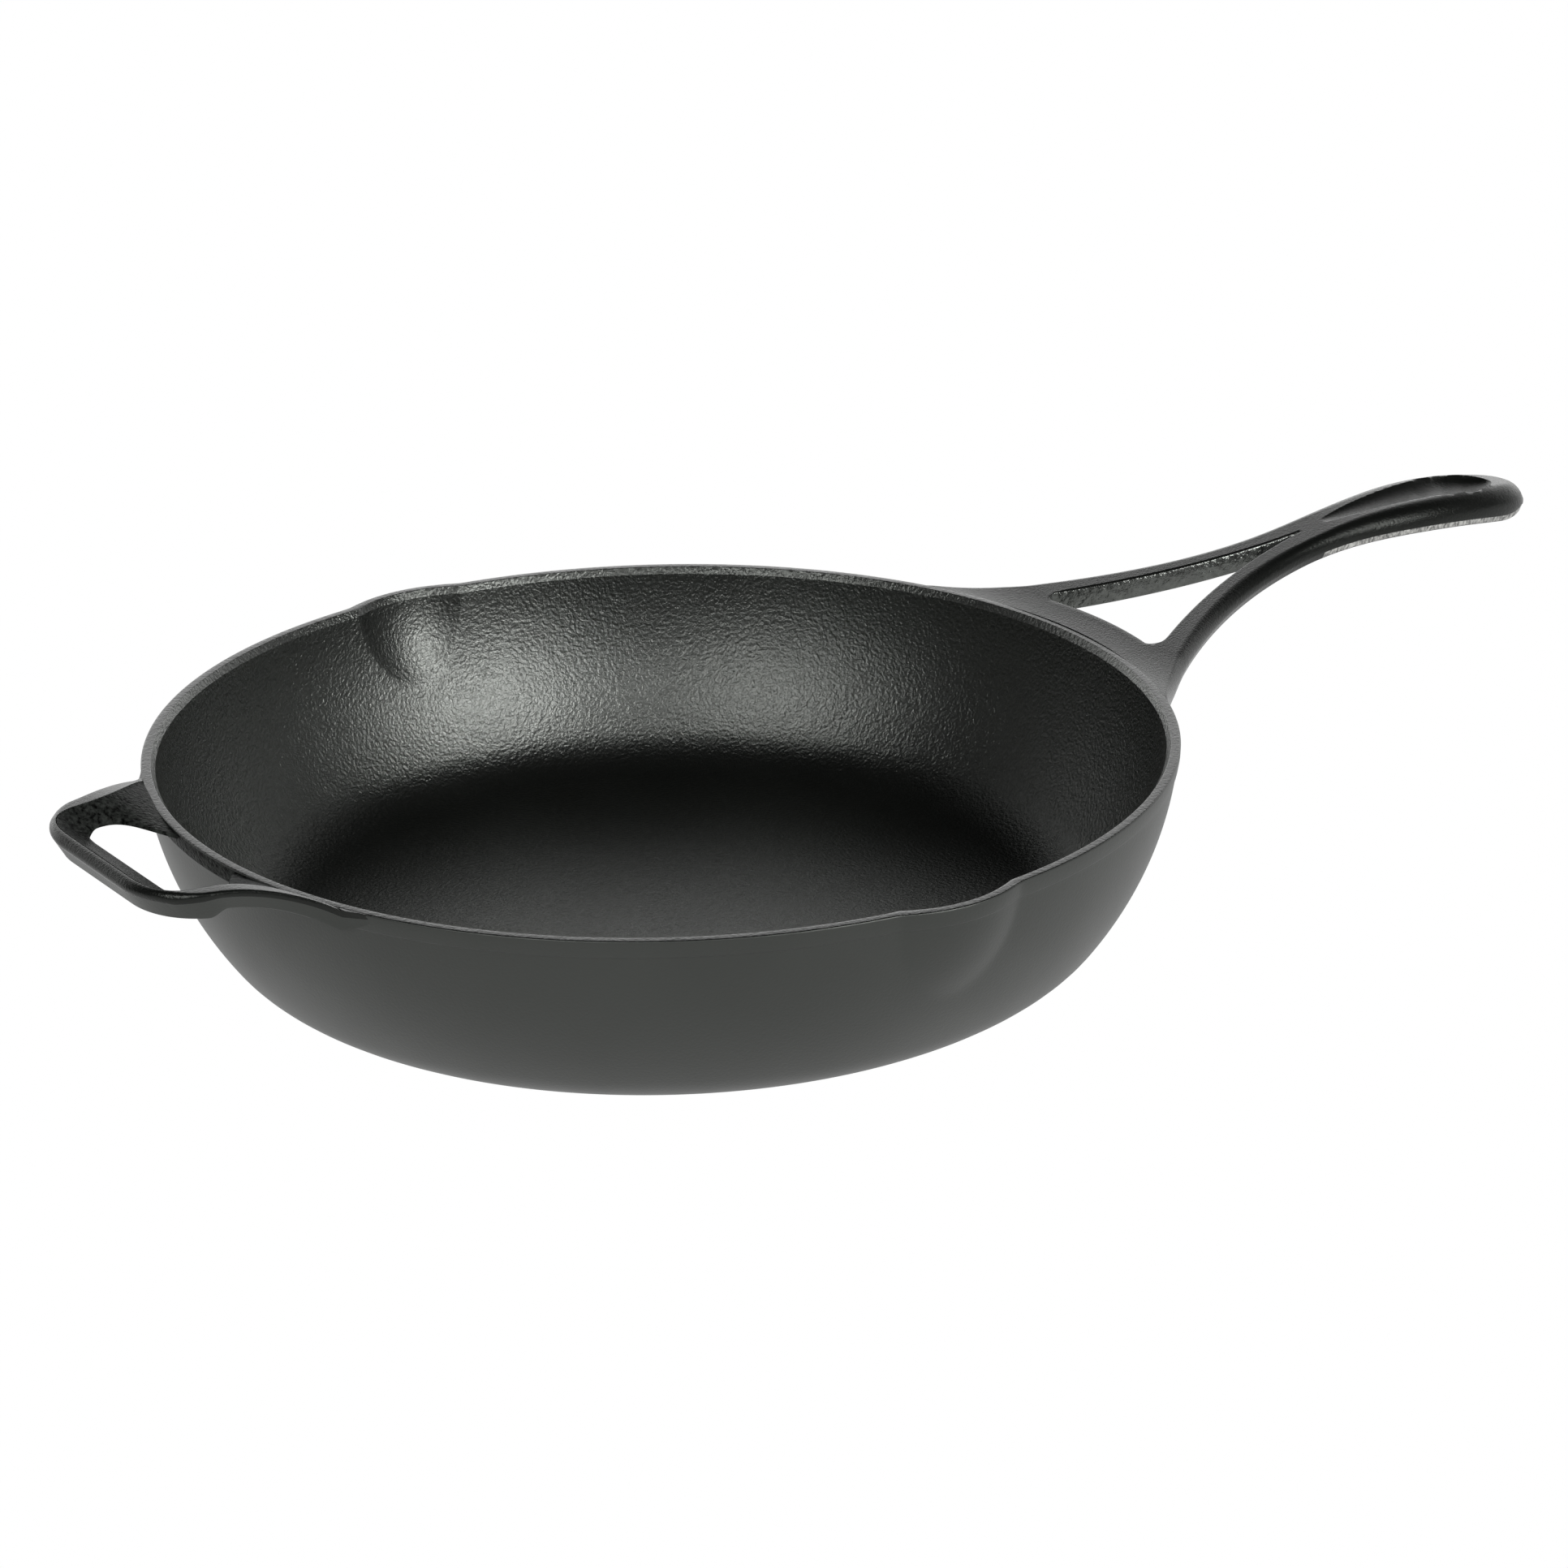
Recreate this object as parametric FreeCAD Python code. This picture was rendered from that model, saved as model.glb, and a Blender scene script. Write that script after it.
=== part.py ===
import FreeCAD, Part
import math
import os

# One iron casting, modelled as four regions that meet face to face.
# Origin: centre of the flat underside. +Z up, +X along the long handle, mm.

# Pan body
rim_diameter = 305.0       # over the outside of the rim, away from the spouts
pan_height = 61.5          # table to the top of the rim
wall_flare = 40.7          # how far the rim stands outside the edge of the flat base
metal = 3.6                # thickness of the floor and of the side wall
corner_radius = 26.9       # outside radius where the floor turns up into the wall
corner_sweep = 53.6        # degrees turned by that corner before the wall arc starts
rim_flat = 2.35            # ground flat ring on top of the rim
rim_edge = 0.5             # small round on the outer edge of the rim
bevel_drop = 2.0           # height of the bevel inside the rim
collar_height = 5.3        # slightly thicker band around the outside of the rim
collar_step = 0.4          # how far that band stands out from the wall

# Pour spouts, one on each side of the long handle
spout_width = 36.0         # across the rim
spout_depth = 4.0          # how far the rim bulges outward
spout_drop = 27.5          # how far the scoop runs down the inside of the wall

# Long handle
root_spread = 25.4         # degrees either side of the handle where the arms leave the rim
root_turn = 10.0           # degrees between the rim's tangent and the arm where it starts
handle_metal = 7.0         # height of the side of the arms
neck_reach = 89.5          # outside of the rim to the narrowest place
neck_width = 20.6
grip_swell = 52.0          # narrowest place to the widest place of the grip
grip_width = 29.6
grip_nose = 38.0           # widest place of the grip to its tip
ramp_angle = 9.35          # upward slope of the arms, degrees
ramp_past_neck = 6.0       # that straight slope runs on this far past the narrowest place
crest_radius = 230.0       # arch of the grip, seen from the side
nose_back = 14.0           # from the tip back to where the grip's top turns down
nose_radius = 28.0         # that turn, seen from the side
under_lead = 12.0          # the arch of the underside starts this much nearer the pan
top_round = 4.4            # round along the outer top edges
under_round = 1.0          # round along the lower edges

# Opening between the arms
web_width = 10.5           # shelf between the rim and the opening
opening_spread = 10.8      # degrees either side of the handle to the opening's corners
opening_short = 2.0        # its pointed end stops this far short of the narrowest place
opening_corner = 3.0       # radius of the two corners beside the web

# Thumb groove in the grip
groove_length = 79.5       # from the tip back to the narrow end
groove_nose = 28.5         # from the tip back to the widest place
groove_width = 18.4
groove_depth = 3.4

# Assist handle
loop_spread = 23.2         # degrees either side of the loop where its arms leave the rim
loop_turn = 17.0           # degrees between the rim's tangent and the arm where it starts
loop_reach = 35.1          # outside of the rim to the outer edge of the bar
loop_rise = 6.4            # the bar's top stands this much above the rim
loop_crest = 15.5          # outside of the rim to where that rise ends
loop_arch = 58.0           # radius of the arms' rise, seen from the side
loop_width = 84.0          # across the arms where the corners of the bar begin
loop_corner = 16.0         # length of each corner, measured along X
bar_straight = 36.0        # straight part of the bar
bar_lean = 3.4             # the bar's outer face leans inward by this much at its foot
bar_metal = 8.4            # height of the bar and its corners
arm_metal = 6.0            # height of the arms beside the pan
step_reach = 16.5          # outside of the rim to where the underside steps down to the bar
arm_border = 5.2           # top border along the arms
bar_border = 3.1           # top border along the bar
bar_width = 11.8           # whole bar, to the edge of the finger opening
panel_drop = 5.0           # from the bar's border down to the edge of the opening
finger_lean = 4.0          # the arms' inner faces lean inward by this much at their foot
finger_straight = 46.0     # straight edge of the opening along the bar
loop_round = 1.2           # round along the upper outer edge

rim_radius = rim_diameter / 2
base_radius = rim_radius - wall_flare
grip_reach = neck_reach + grip_swell
handle_reach = grip_reach + grip_nose
ramp_length = neck_reach + ramp_past_neck
opening_reach = neck_reach - opening_short
groove_start = handle_reach - groove_length
groove_wide = handle_reach - groove_nose
reach_margin = 30.0        # spare length on cutting shapes
up = FreeCAD.Vector(0, 0, 1)


def vec(x, y, z=0.0):
    return FreeCAD.Vector(x, y, z)


def xz(x, z):
    return FreeCAD.Vector(x, 0, z)


def polar(radius, degrees, z=0.0):
    a = math.radians(degrees)
    return vec(radius * math.cos(a), radius * math.sin(a), z)


def line(a, b):
    return Part.makeLine(a, b)


def bezier(*poles):
    curve = Part.BezierCurve()
    curve.setPoles(list(poles))
    return curve.toShape()


def loop_face(edges):
    return Part.Face(Part.Wire(Part.__sortEdges__(edges)))


def spin(face):
    return face.revolve(vec(0, 0), up, 360)


class WallSection:
    """The wall's section: a corner arc, then a wall arc tangent to it."""

    def __init__(self, inset):
        phi = math.radians(corner_sweep)
        self.inset = inset
        self.corner = (base_radius, corner_radius)
        turn_r = base_radius + corner_radius * math.sin(phi)
        turn_z = corner_radius * (1 - math.cos(phi))
        inward = (-math.sin(phi), math.cos(phi))
        dr = rim_radius - collar_step - turn_r
        dz = pan_height - turn_z
        radius = (dr * dr + dz * dz) / (2 * (dr * inward[0] + dz * inward[1]))
        self.center = (turn_r + radius * inward[0], turn_z + radius * inward[1])
        self.radius = radius - inset
        self.corner_r = corner_radius - inset
        self.phi = phi

    def wall_at(self, z):
        lift = z - self.center[1]
        return self.center[0] + math.sqrt(self.radius ** 2 - lift ** 2)

    def corner_edge(self):
        pts = []
        for share in (0.0, 0.5, 1.0):
            a = self.phi * share
            pts.append(xz(self.corner[0] + self.corner_r * math.sin(a),
                          self.corner[1] - self.corner_r * math.cos(a)))
        return Part.Arc(*pts).toShape()

    def wall_edge(self, top_z):
        turn = xz(self.corner[0] + self.corner_r * math.sin(self.phi),
                  self.corner[1] - self.corner_r * math.cos(self.phi))
        mid_z = (turn.z + top_z) / 2
        return Part.Arc(turn, xz(self.wall_at(mid_z), mid_z),
                        xz(self.wall_at(top_z), top_z)).toShape()


outer = WallSection(0.0)
inner = WallSection(metal)


def outside_edges():
    """Outer line of the section, from the base up to the flat of the rim."""
    foot = pan_height - collar_height
    ledge = xz(outer.wall_at(foot) + collar_step, foot + collar_step)
    side = xz(rim_radius, pan_height - rim_edge)
    bend = rim_edge * (1 - math.sqrt(0.5))
    flat = xz(rim_radius - rim_edge, pan_height)
    return [outer.corner_edge(), outer.wall_edge(foot),
            line(xz(outer.wall_at(foot), foot), ledge), line(ledge, side),
            Part.Arc(side, xz(rim_radius - bend, pan_height - bend), flat).toShape()], flat


def inside_edges():
    """Inner line of the section, from the floor up to the flat of the rim."""
    bevel = pan_height - bevel_drop
    lip = xz(rim_radius - rim_edge - rim_flat, pan_height)
    return [inner.corner_edge(), inner.wall_edge(bevel),
            line(xz(inner.wall_at(bevel), bevel), lip)], lip


def inside_solid():
    edges, lip = inside_edges()
    floor = xz(base_radius, metal)
    above = pan_height + reach_margin
    edges += [line(lip, xz(lip.x, above)), line(xz(lip.x, above), xz(0, above)),
              line(xz(0, above), xz(0, metal)), line(xz(0, metal), floor)]
    return spin(loop_face(edges))


def outside_solid():
    """Everything inside the pan's outer surface, and the air above the pan."""
    edges, flat = outside_edges()
    above = pan_height + reach_margin
    edges += [line(flat, xz(flat.x, above)), line(xz(flat.x, above), xz(0, above)),
              line(xz(0, above), xz(0, 0)), line(xz(0, 0), xz(base_radius, 0))]
    return spin(loop_face(edges))


def spout_barrel(grow):
    """Barrel whose side is the spout's scoop (grow 0) or its outside (grow metal)."""
    foot_z = pan_height - spout_drop
    foot = vec(0, inner.wall_at(foot_z), foot_z)
    lip_y = rim_radius - rim_edge - rim_flat + spout_depth
    head = vec(0, lip_y, pan_height)
    chord = head - foot
    length = chord.Length
    along = FreeCAD.Vector(chord).normalize()
    out = vec(0, along.z, -along.y)
    middle_z = pan_height - spout_drop / 2
    middle_y = inner.wall_at(middle_z) + spout_depth * 0.75
    sag = (vec(0, middle_y, middle_z) - foot).dot(out)
    bow = (length ** 2 / 4 + sag ** 2) / (2 * sag)
    half = spout_width / 2
    girth = (half ** 2 + spout_depth ** 2) / (2 * spout_depth)
    apex = (foot + head) / 2 + out * (sag + grow)
    hub = apex - out * (girth + grow)
    swing = math.asin(min(0.9, 1.5 * length / 2 / bow))
    turn_at = apex - out * (bow + grow)
    ends = [turn_at + (out * math.cos(s) + along * math.sin(s)) * (bow + grow)
            for s in (-swing, swing)]
    feet = [hub + along * (end - hub).dot(along) for end in ends]
    face = loop_face([Part.Arc(ends[0], apex, ends[1]).toShape(), line(ends[1], feet[1]),
                      line(feet[1], feet[0]), line(feet[0], ends[0])])
    return face.revolve(hub, along, 360)


def spout_slab():
    size = 2 * rim_radius + reach_margin
    height = spout_drop + corner_radius / 4
    slab = Part.makeBox(size, size, height)
    slab.translate(vec(-size / 2, 0, pan_height - height))
    return slab


def make_wall():
    out_edges, flat = outside_edges()
    in_edges, lip = inside_edges()
    ring = spin(loop_face(out_edges + [line(flat, lip)] + in_edges
                          + [line(xz(base_radius, metal), xz(base_radius, 0))]))
    bulge = spout_barrel(metal).common(spout_slab())
    scoop = spout_barrel(0.0)
    bulges = [bulge, bulge.mirror(vec(0, 0), vec(0, 1))]
    scoops = [scoop, scoop.mirror(vec(0, 0), vec(0, 1))]
    return ring.fuse(bulges).cut(inside_solid()).cut(scoops).removeSplitter()


def make_floor():
    return Part.makeCylinder(base_radius, metal)


def column(wire):
    face = Part.Face(wire)
    size = 4 * pan_height
    face.translate(vec(0, 0, -pan_height))
    return face.extrude(vec(0, 0, size))


def joined(edges):
    """One smooth curve made from a chain of edges."""
    curve = None
    for edge in edges:
        piece = edge.Curve.toBSpline(edge.FirstParameter, edge.LastParameter)
        if curve is None:
            curve = piece
        else:
            curve.join(piece)
    return curve


def flipped(point):
    return vec(point.x, -point.y, point.z)


def whole_curve(half):
    """A smooth outline from the poles of its +Y half and their mirror images."""
    other = [[flipped(p) for p in reversed(poles)] for poles in reversed(half)]
    return joined([bezier(*poles) for poles in half + other])


def plan_wire(half, inside):
    """Plan of a handle: the outline, closed by straight lines inside the pan."""
    start = half[0][0]
    return Part.Wire([line(inside, start), whole_curve(half).toShape(),
                      line(flipped(start), flipped(inside)), line(flipped(inside), inside)])


def side_body(top, under):
    """Solid between a top line and an underside line, running across the handle."""
    face = loop_face([top.toShape(), under.toShape(), line(top.StartPoint, under.StartPoint),
                      line(top.EndPoint, under.EndPoint)])
    face.translate(vec(0, -rim_radius, 0))
    return face.extrude(vec(0, 2 * rim_radius, 0))


def rounded(body, radius, side):
    """Round the long edges outside the rim: the upper ones (side 1) or the lower (-1)."""
    chosen = []
    for edge in body.Edges:
        mid = edge.valueAt((edge.FirstParameter + edge.LastParameter) / 2)
        lifts = []
        for face in body.ancestorsOfType(edge, Part.Face):
            u, v = face.Surface.parameter(mid)
            lifts.append(side * face.normalAt(u, v).z)
        if math.hypot(mid.x, mid.y) > rim_radius and max(lifts) > 0.7:
            chosen.append(edge)
    return body.makeFillet(radius, chosen)


def slope_start(spread, turn):
    """Where an arm leaves the rim, and its direction there, in plan."""
    a = math.radians(spread)
    start = polar(rim_radius, spread)
    heading = a - math.pi / 2 + math.radians(turn)
    return start, vec(math.cos(heading), math.sin(heading))


def handle_plan():
    start, heading = slope_start(root_spread, root_turn)
    neck = vec(rim_radius + neck_reach, neck_width / 2)
    wide = vec(rim_radius + grip_reach, grip_width / 2)
    tip = vec(rim_radius + handle_reach, 0)
    span = neck.x - start.x
    swell = wide.x - neck.x
    nose = tip.x - wide.x
    return plan_wire([
        [start, start + heading * (0.15 * span), neck - vec(0.48 * span, 0), neck],
        [neck, neck + vec(0.4 * swell, 0), wide - vec(0.42 * swell, 0), wide],
        [wide, wide + vec(0.63 * nose, 0), vec(tip.x, 0.63 * wide.y), tip],
    ], polar(0.8 * rim_radius, root_spread))


def ramp_line(level, run, nose):
    """Level at the rim, then a slope, an arch over the grip, and a nose arc at the tip."""
    tilt = math.radians(ramp_angle)
    rise = math.tan(tilt)
    blend = corner_radius / 2
    kink = xz(rim_radius, level)
    before = xz(kink.x - blend, level)
    after = xz(kink.x + blend, level + blend * rise)
    knee = xz(kink.x + run, level + run * rise)
    arch = knee + xz(math.sin(tilt), -math.cos(tilt)) * crest_radius
    turn_x = rim_radius + handle_reach - nose_back
    turn = xz(turn_x, arch_top(arch, crest_radius, turn_x))
    hub = turn + (arch - turn) * (nose / crest_radius)
    end_x = rim_radius + handle_reach + top_round
    end = xz(end_x, arch_top(hub, nose, end_x))
    half_x = (turn.x + end_x) / 2
    return joined([line(xz(0.5 * rim_radius, level), before), bezier(before, kink, after),
                   line(after, knee),
                   Part.Arc(knee, arch + up * crest_radius, turn).toShape(),
                   Part.Arc(turn, xz(half_x, arch_top(hub, nose, half_x)), end).toShape()])


def arch_top(center, radius, x):
    """Height at x of the upper half of a circle seen from the side."""
    return center.z + math.sqrt(radius ** 2 - (x - center.x) ** 2)


def crest_at(x):
    """Height of the long handle's crest line at x, on its arch."""
    tilt = math.radians(ramp_angle)
    arch = xz(rim_radius + ramp_length + crest_radius * math.sin(tilt),
              pan_height + ramp_length * math.tan(tilt) - crest_radius * math.cos(tilt))
    return arch_top(arch, crest_radius, x)


def handle_opening():
    """The pointed opening between the arms, as a cutting shape."""
    radius = rim_radius + web_width
    corner = polar(radius, opening_spread)
    tip = vec(rim_radius + opening_reach, 0)
    bend = vec((corner.x + tip.x) / 2, 0.142 * corner.y)
    body = column(Part.Wire([
        Part.Arc(flipped(corner), vec(radius, 0), corner).toShape(),
        bezier(corner, bend, tip), bezier(tip, flipped(bend), flipped(corner))]))
    uprights = [edge for edge in body.Edges
                if abs(edge.CenterOfMass.x - corner.x) < 0.01
                and abs(abs(edge.CenterOfMass.y) - corner.y) < 0.01]
    return body.makeFillet(opening_corner, uprights)


def thumb_groove():
    """A cone that widens into a ball, lying in the top of the grip."""
    wide_x = rim_radius + groove_wide
    start_x = rim_radius + groove_start
    half = groove_width / 2
    ball = (half ** 2 + groove_depth ** 2) / (2 * groove_depth)
    center = xz(wide_x, crest_at(wide_x) + ball - groove_depth)
    start = xz(start_x, crest_at(start_x))
    run = center - start
    lean = math.asin(ball / run.Length)
    axis_tilt = math.atan2(run.z, run.x) - lean
    floor_end = start + xz(math.cos(axis_tilt), math.sin(axis_tilt)) * (run.Length * math.cos(lean))
    level = vec(1, 0, 0)
    wide_r = center.z - floor_end.z
    narrow_r = center.z - start.z
    cone = Part.makeCone(narrow_r, wide_r, floor_end.x - start.x, xz(start.x, center.z), level)
    return cone.fuse(Part.makeSphere(ball, center))


def make_long_handle():
    body = column(handle_plan()).common(side_body(
        ramp_line(pan_height, ramp_length, nose_radius),
        ramp_line(pan_height - handle_metal, ramp_length - under_lead, crest_radius)))
    body = rounded(rounded(body, top_round, 1), under_round, -1)
    return body.cut(outside_solid()).cut(handle_opening()).cut(thumb_groove())


def loop_wire(z, lean):
    """Outline of the loop at one height; lean draws the bar toward the pan."""
    start, heading = slope_start(loop_spread, loop_turn)
    bar = rim_radius + loop_reach - lean
    knuckle = vec(bar - loop_corner, loop_width / 2 - lean / 3)
    flat = vec(bar, bar_straight / 2)
    run = knuckle.x - start.x
    inward = vec(0.965, -0.26)
    wire = plan_wire([
        [start, start + heading * (0.3 * run), knuckle - inward * (0.31 * run), knuckle],
        [knuckle, knuckle + inward * (0.62 * loop_corner),
         vec(bar, flat.y + 0.72 * loop_corner), flat],
        [flat, vec(bar, flat.y / 3), vec(bar, 0)],
    ], polar(0.8 * rim_radius, loop_spread))
    wire.translate(vec(0, 0, z))
    return wire


def loop_body():
    """The loop's outline carried up and down, leaning as the bar's outer face does."""
    top = pan_height + loop_rise
    return Part.makeLoft([loop_wire(top + bar_metal, -bar_lean),
                          loop_wire(top - 2 * bar_metal, 2 * bar_lean)], True, True)


def arch_line(level, lift, droop_at=None, droop=0.0):
    """Level at the rim, then up an arc to the bar; the underside may step down."""
    crest = xz(rim_radius + loop_crest, level + lift)
    far = crest.x + loop_reach
    foot = crest.x - math.sqrt(loop_arch ** 2 - (loop_arch - lift) ** 2)
    blend = 0.25 * (crest.x - foot)

    def arc_point(x):
        return xz(x, crest.z - loop_arch + math.sqrt(loop_arch ** 2 - (crest.x - x) ** 2))

    def slope_at(point):
        return (crest.x - point.x) / (point.z - crest.z + loop_arch)

    join = arc_point(foot + blend)
    kink = xz(join.x - (join.z - level) / slope_at(join), level)
    before = xz(kink.x - blend, level)
    chain = [line(xz(0.5 * rim_radius, level), before), bezier(before, kink, join)]
    end = crest if droop_at is None else arc_point(droop_at)
    middle = arc_point((join.x + end.x) / 2)
    chain.append(Part.Arc(join, middle, end).toShape())
    if droop_at is None:
        chain.append(line(end, xz(far, crest.z)))
    else:
        low = crest.z - droop
        step = 2 * droop
        half = 0.5 * step
        chain.append(bezier(end, end + xz(half, half * slope_at(end)),
                            xz(end.x + half, low), xz(end.x + step, low)))
        chain.append(line(xz(end.x + step, low), xz(far, low)))
    return joined(chain)


def finger_wire(z, bar_gap, corner, shrink):
    """Inner outline of the loop at one height; bar_gap is the bar's width there."""
    bar = rim_radius + loop_reach - bar_gap
    side = loop_width / 2 - arm_border - shrink
    start = vec(0.87 * rim_radius, 1.63 * side + 0.6 * shrink)
    knuckle = vec(bar - corner, side)
    run = knuckle.x - start.x
    flat = vec(bar, finger_straight / 2)
    wire = Part.Wire([whole_curve([
        [start, start + vec(0.38 * run, -0.42 * run), knuckle - vec(0.42 * run, -0.04 * run),
         knuckle],
        [knuckle, vec(bar - 0.3 * corner, knuckle.y - 0.3), vec(bar, 0.4 * knuckle.y + 0.6 * flat.y),
         flat],
        [flat, vec(bar, flat.y / 3), vec(bar, 0)],
    ]).toShape(), line(flipped(start), start)])
    wire.translate(vec(0, 0, z))
    return wire


def finger_opening():
    """Space inside the loop: a funnel down to the panel's edge, then straight down."""
    top = pan_height + loop_rise
    edge = top - panel_drop
    per_mm = finger_lean / bar_metal
    rim_wire = finger_wire(top, bar_border, 0.85 * loop_corner, 0)
    sky_wire = finger_wire(top + bar_metal, bar_border, 0.85 * loop_corner, 0)
    edge_wire = finger_wire(edge, bar_width, 0.5 * loop_corner, panel_drop * per_mm)
    foot_wire = finger_wire(edge - bar_metal, bar_width, 0.5 * loop_corner,
                            (panel_drop + bar_metal) * per_mm)
    return [Part.makeLoft([sky_wire, rim_wire], True, True),
            Part.makeLoft([rim_wire, edge_wire], True, True),
            Part.makeLoft([edge_wire, foot_wire], True, True)]


def make_assist_handle():
    top = arch_line(pan_height, loop_rise)
    under = arch_line(pan_height - arm_metal, loop_rise, rim_radius + step_reach,
                      bar_metal - arm_metal)
    body = rounded(loop_body().common(side_body(top, under)), loop_round, 1)
    for space in finger_opening():
        body = body.cut(space)
    body = body.cut(outside_solid()).removeSplitter()
    body.rotate(vec(0, 0), up, 180)
    return body


parts = {
    "pan_floor": make_floor(),
    "pan_wall": make_wall(),
    "long_handle": make_long_handle(),
    "assist_handle": make_assist_handle(),
}

os.makedirs("parts", exist_ok=True)
for name, shape in parts.items():
    shape.exportStep("parts/%s.step" % name)
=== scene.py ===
import math
import bmesh
import bpy
import numpy as np
from mathutils import Matrix, Vector
from mathutils.bvhtree import BVHTree

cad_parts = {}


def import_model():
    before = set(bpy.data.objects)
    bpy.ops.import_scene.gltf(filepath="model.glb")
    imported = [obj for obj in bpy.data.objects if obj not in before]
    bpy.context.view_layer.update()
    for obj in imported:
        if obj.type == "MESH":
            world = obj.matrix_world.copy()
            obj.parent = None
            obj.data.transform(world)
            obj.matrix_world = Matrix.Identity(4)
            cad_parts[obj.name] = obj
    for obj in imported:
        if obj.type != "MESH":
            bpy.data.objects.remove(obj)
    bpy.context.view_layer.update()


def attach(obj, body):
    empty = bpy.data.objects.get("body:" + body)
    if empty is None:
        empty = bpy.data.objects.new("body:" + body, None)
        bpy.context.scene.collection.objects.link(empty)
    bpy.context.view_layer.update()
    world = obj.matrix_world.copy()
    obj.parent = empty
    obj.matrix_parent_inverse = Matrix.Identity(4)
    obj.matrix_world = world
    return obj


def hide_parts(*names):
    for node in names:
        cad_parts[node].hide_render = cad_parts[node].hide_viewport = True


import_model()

MM = 0.001

# ---------------------------------------------------------------- pan sizes, mm
RIM = 152.5
HEIGHT = 61.5
BASE = 111.8
METAL = 3.6
CORNER = 26.9
SWEEP = math.radians(53.6)
COLLAR_STEP = 0.4
COLLAR = 5.3
RIM_EDGE = 0.5
RIM_FLAT = 2.35
BEVEL = 2.0
SPOUT_OUT = 3.95
SPOUT_HALF = 19.0
SPOUT_DROP = 28.0
SPOUT_ANGLE = 90           # degrees either side of the long handle
SPOUT_FOOT = 12.0          # the spouts leave the wall alone below this height


def wall_arc():
    """Centre and radius of the wall's outer arc, tangent to the corner arc."""
    r = BASE + CORNER * math.sin(SWEEP)
    z = CORNER * (1 - math.cos(SWEEP))
    nr, nz = -math.sin(SWEEP), math.cos(SWEEP)
    dr, dz = RIM - COLLAR_STEP - r, HEIGHT - z
    radius = (dr * dr + dz * dz) / (2 * (dr * nr + dz * nz))
    return r + radius * nr, z + radius * nz, radius


ARC_R, ARC_Z, ARC = wall_arc()


def wall_at(z, inset):
    return ARC_R + math.sqrt((ARC - inset) ** 2 - (z - ARC_Z) ** 2)


def turn_z(inset):
    return CORNER - (CORNER - inset) * math.cos(SWEEP)


def soft_path(points, radii, steps=4):
    """A polyline whose listed corners are replaced by small tangent arcs."""
    out = [points[0]]
    for i in range(1, len(points) - 1):
        p, a, b = (np.array(points[j], float) for j in (i, i - 1, i + 1))
        r = radii.get(i, 0)
        if not r:
            out.append(tuple(p))
            continue
        u, v = (a - p) / np.linalg.norm(a - p), (b - p) / np.linalg.norm(b - p)
        angle = math.acos(max(-1, min(1, float(u @ v))))
        cut = min(r / math.tan(angle / 2), 0.45 * np.linalg.norm(a - p), 0.45 * np.linalg.norm(b - p))
        s, e = p + u * cut, p + v * cut
        for k in range(steps + 1):
            t = k / steps
            out.append(tuple((1 - t) ** 2 * s + 2 * t * (1 - t) * p + t * t * e))
    out.append(points[-1])
    return out


def pan_profile():
    """(r, z) from the base's edge outside, over the rim, to the floor inside."""
    pts = []
    for k in range(13):
        a = SWEEP * k / 12
        pts.append((BASE + CORNER * math.sin(a), CORNER * (1 - math.cos(a))))
    foot = HEIGHT - COLLAR
    z0 = turn_z(0)
    for k in range(1, 30):
        z = z0 + (foot - z0) * k / 29
        pts.append((wall_at(z, 0), z))
    rim = soft_path([(wall_at(foot - 0.7, 0), foot - 0.7), (wall_at(foot, 0), foot),
                     (wall_at(foot, 0) + COLLAR_STEP, foot + COLLAR_STEP),
                     (RIM - 0.1, HEIGHT - 2.5),
                     (RIM, HEIGHT), (RIM - RIM_EDGE - RIM_FLAT, HEIGHT),
                     (wall_at(HEIGHT - BEVEL, METAL), HEIGHT - BEVEL),
                     (wall_at(HEIGHT - BEVEL - 1.5, METAL), HEIGHT - BEVEL - 1.5)],
                    {1: 0.25, 2: 0.3, 4: 0.6, 5: 0.3, 6: 0.5}, 5)
    pts = pts[:-1] + rim[1:]
    z1 = turn_z(METAL)
    top = HEIGHT - BEVEL - 1.5
    for k in range(1, 37):
        z = top + (z1 - top) * k / 36
        pts.append((wall_at(z, METAL), z))
    for k in range(11, -1, -1):
        a = SWEEP * k / 12
        pts.append((BASE + (CORNER - METAL) * math.sin(a), CORNER - (CORNER - METAL) * math.cos(a)))
    return np.array(pts)


def soft_plus(x, e):
    return (x + np.sqrt(x * x + e * e)) / 2


def spout(angle, z, outside):
    """How far the wall is pushed outward at this place by the two pour spouts."""
    turn = np.abs(np.abs(np.degrees(angle)) - SPOUT_ANGLE)
    s = np.radians(turn) * RIM
    half = SPOUT_HALF + (1.0 if outside else 0.0)
    drop = SPOUT_DROP + (3.0 if outside else 0.0)
    u = 1 - (s / half) ** 2 - (np.clip(HEIGHT - z, 0, None) / drop) ** 2
    soft = 0.16 if outside else 0.035
    bulge = soft_plus(u, soft)
    return SPOUT_OUT * np.clip(bulge - soft * soft / 6, 0, None) * (u > -1.5)


def columns():
    """Angles round the pan, closer together at the spouts."""
    angles = []
    a = -180.0
    while a < 180 - 1e-6:
        angles.append(a)
        near = abs(abs(a + 0.1) - SPOUT_ANGLE)
        a += 0.25 if near < 10 else 0.75
    return np.radians(np.array(angles))


def ring_mesh(name, co):
    """Mesh from a (rows, columns, 3) grid in mm whose columns run all the way round."""
    rows, cols = co.shape[:2]
    faces = []
    for i in range(rows - 1):
        for j in range(cols):
            jj = (j + 1) % cols
            faces.append((i * cols + j, i * cols + jj, (i + 1) * cols + jj, (i + 1) * cols + j))
    return mesh_object(name, co.reshape(-1, 3), faces)


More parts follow.
